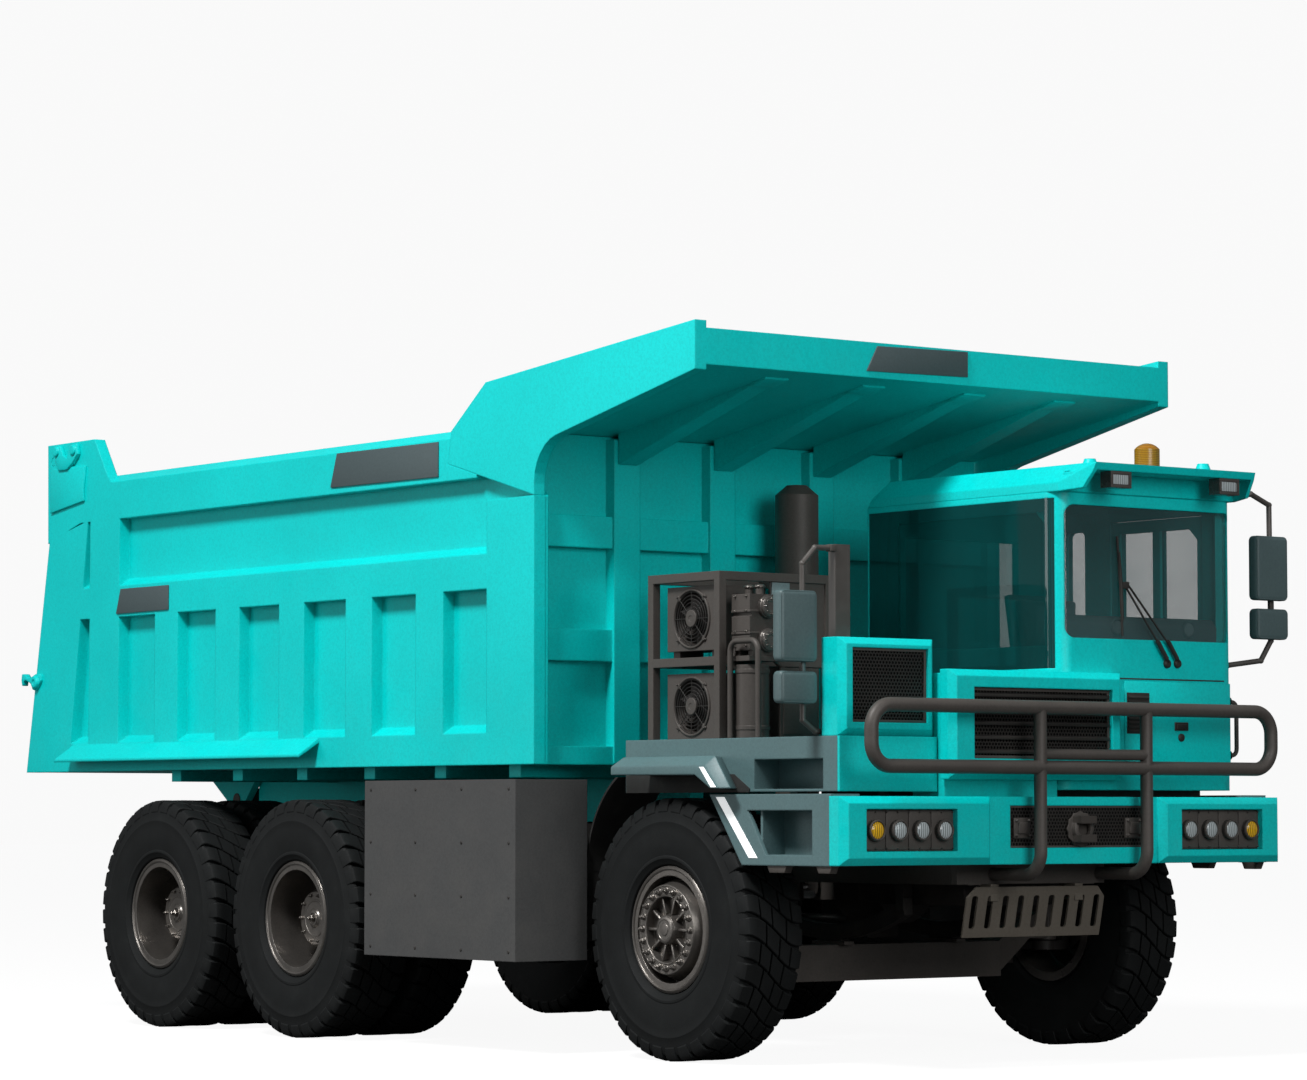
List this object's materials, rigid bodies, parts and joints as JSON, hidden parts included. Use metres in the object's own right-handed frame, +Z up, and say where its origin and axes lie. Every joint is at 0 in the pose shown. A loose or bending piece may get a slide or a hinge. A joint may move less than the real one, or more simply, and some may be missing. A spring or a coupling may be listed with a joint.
{
  "type": "mining dump truck",
  "caption": "Wide-body mining dump truck with an offset cab, tandem twin rear wheels, a ribbed tipping body with a cab canopy, a top-hung tailgate and a front-lift hoist.",
  "frame": {"origin": "on the ground at mid-length on the centreline, the bottom centre of the bounding box", "axes": "+X forward along the truck, +Y to the driver's left, +Z up"},
  "size_m": [8.978, 4.11, 4.161],
  "materials": {
    "body_paint": "semi-gloss teal enamel",
    "fender_paint": "satin grey-green enamel",
    "dark_paint": "satin dark grey enamel",
    "cast_iron": "painted casting",
    "stage_chrome": "polished rod",
    "tyre": "matt rubber",
    "guard_rubber": "matt rubber",
    "rim_steel": "silver wheel paint",
    "cab_glass": "tinted glass",
    "lamp_lens": "clear lens",
    "trim_plastic": "moulded trim and cloth"
  },
  "bodies": {
    "chassis": {"frame_rails": "dark_paint", "front_axle": "cast_iron", "rear_axles": "cast_iron", "suspension": "cast_iron", "engine": "cast_iron", "front_bumper": "body_paint", "lamps": "lamp_lens", "bull_bar": "dark_paint", "belly_guard": "dark_paint", "front_cowls": "body_paint", "grille_screens": "dark_paint", "deck": "fender_paint", "fenders": "fender_paint", "side_steps": "fender_paint", "mud_guards": "guard_rubber", "side_boxes": "dark_paint", "cooling_rack": "dark_paint", "cooler_units": "dark_paint", "pump_set": "dark_paint", "hand_rails": "dark_paint", "mirrors": "dark_paint", "cab_shell": "body_paint", "cab_roof": "body_paint", "cab_glass": "cab_glass", "cab_interior": "trim_plastic"},
    "upper_fan": {"fan_upper": "cast_iron"},
    "lower_fan": {"fan_lower": "cast_iron"},
    "cab_door": {"door_panel": "body_paint", "door_glass": "cab_glass"},
    "dump_bed": {"bed_floor": "body_paint", "bed_side_right": "body_paint", "bed_side_left": "body_paint", "bed_front": "body_paint", "canopy": "body_paint"},
    "tail_door": {"tailgate": "body_paint"},
    "hoist_foot": {"hoist_base": "stage_chrome"},
    "hoist_lower": {"hoist_stage_lower": "stage_chrome"},
    "hoist_upper": {"hoist_stage_upper": "stage_chrome"},
    "hoist_outer": {"hoist_cover": "dark_paint"},
    "steer_knuckle_right": {"knuckle_right": "cast_iron"},
    "steer_knuckle_left": {"knuckle_left": "cast_iron"},
    "track_rod": {"tie_rod": "cast_iron"},
    "wheel_front_right": {"tyre_front_right": "tyre", "rim_front_right": "rim_steel"},
    "wheel_front_left": {"tyre_front_left": "tyre", "rim_front_left": "rim_steel"},
    "wheels_mid_right": {"tyres_mid_right": "tyre", "rims_mid_right": "rim_steel"},
    "wheels_mid_left": {"tyres_mid_left": "tyre", "rims_mid_left": "rim_steel"},
    "wheels_rear_right": {"tyres_rear_right": "tyre", "rims_rear_right": "rim_steel"},
    "wheels_rear_left": {"tyres_rear_left": "tyre", "rims_rear_left": "rim_steel"}
  },
  "joints": [
    {"name": "steer_right", "type": "hinge", "parent": "chassis", "child": "steer_knuckle_right", "pos_m": [2.8, -1.23, 0.745], "axis": [0, 0, 1], "range_deg": [-32, 32]},
    {"name": "steer_left", "type": "hinge", "parent": "chassis", "child": "steer_knuckle_left", "pos_m": [2.8, 1.23, 0.745], "axis": [0, 0, 1], "range_deg": [-32, 32]},
    {"name": "track_rod_slide", "type": "slide", "parent": "chassis", "child": "track_rod", "axis": [0, -1, 0], "range_m": [-0.16, 0.16]},
    {"name": "front_right_spin", "type": "hinge", "parent": "steer_knuckle_right", "child": "wheel_front_right", "pos_m": [2.8, -1.445, 0.745], "axis": [0, 1, 0], "continuous": true},
    {"name": "front_left_spin", "type": "hinge", "parent": "steer_knuckle_left", "child": "wheel_front_left", "pos_m": [2.8, 1.445, 0.745], "axis": [0, 1, 0], "continuous": true},
    {"name": "mid_right_spin", "type": "hinge", "parent": "chassis", "child": "wheels_mid_right", "pos_m": [-0.593, -1.56, 0.745], "axis": [0, 1, 0], "continuous": true},
    {"name": "mid_left_spin", "type": "hinge", "parent": "chassis", "child": "wheels_mid_left", "pos_m": [-0.593, 1.56, 0.745], "axis": [0, 1, 0], "continuous": true},
    {"name": "rear_right_spin", "type": "hinge", "parent": "chassis", "child": "wheels_rear_right", "pos_m": [-2.279, -1.56, 0.745], "axis": [0, 1, 0], "continuous": true},
    {"name": "rear_left_spin", "type": "hinge", "parent": "chassis", "child": "wheels_rear_left", "pos_m": [-2.279, 1.56, 0.745], "axis": [0, 1, 0], "continuous": true},
    {"name": "bed_tip", "type": "hinge", "parent": "chassis", "child": "dump_bed", "pos_m": [-3.7, 0, 1.5], "axis": [0, -1, 0], "range_deg": [0, 45]},
    {"name": "tailgate_swing", "type": "hinge", "parent": "dump_bed", "child": "tail_door", "pos_m": [-4.077, 0, 3.86], "axis": [0, 1, 0], "range_deg": [0, 60]},
    {"name": "door_hinge", "type": "hinge", "parent": "chassis", "child": "cab_door", "pos_m": [3.978, 1.506, 2.45], "axis": [0, 0, -1], "range_deg": [0, 70]},
    {"name": "hoist_lean", "type": "hinge", "parent": "chassis", "child": "hoist_foot", "pos_m": [1.943, 0, 0.96], "axis": [0, -1, 0], "range_deg": [0, 22]},
    {"name": "hoist_slide_lower", "type": "slide", "parent": "hoist_foot", "child": "hoist_lower", "axis": [0, 0, 1], "range_m": [0, 1.44]},
    {"name": "hoist_slide_upper", "type": "slide", "parent": "hoist_lower", "child": "hoist_upper", "axis": [0, 0, 1], "range_m": [0, 1.44]},
    {"name": "hoist_slide_cover", "type": "slide", "parent": "hoist_upper", "child": "hoist_outer", "axis": [0, 0, 1], "range_m": [0, 1.44]},
    {"name": "upper_fan_spin", "type": "hinge", "parent": "chassis", "child": "upper_fan", "pos_m": [2.76, -1.391, 2.515], "axis": [0, 1, 0], "continuous": true},
    {"name": "lower_fan_spin", "type": "hinge", "parent": "chassis", "child": "lower_fan", "pos_m": [2.76, -1.391, 2.0125], "axis": [0, 1, 0], "continuous": true}
  ],
  "couplings": [
    {"joint": "steer_left", "follows": "steer_right", "ratio": 1},
    {"joint": "track_rod_slide", "follows": "steer_right", "m_per_rad": 0.28},
    {"joint": "hoist_lean", "follows": "bed_tip", "ratio": 0.47},
    {"joint": "hoist_slide_lower", "follows": "bed_tip", "m_per_rad": 1.825},
    {"joint": "hoist_slide_upper", "follows": "bed_tip", "m_per_rad": 1.825},
    {"joint": "hoist_slide_cover", "follows": "bed_tip", "m_per_rad": 1.825}
  ]
}
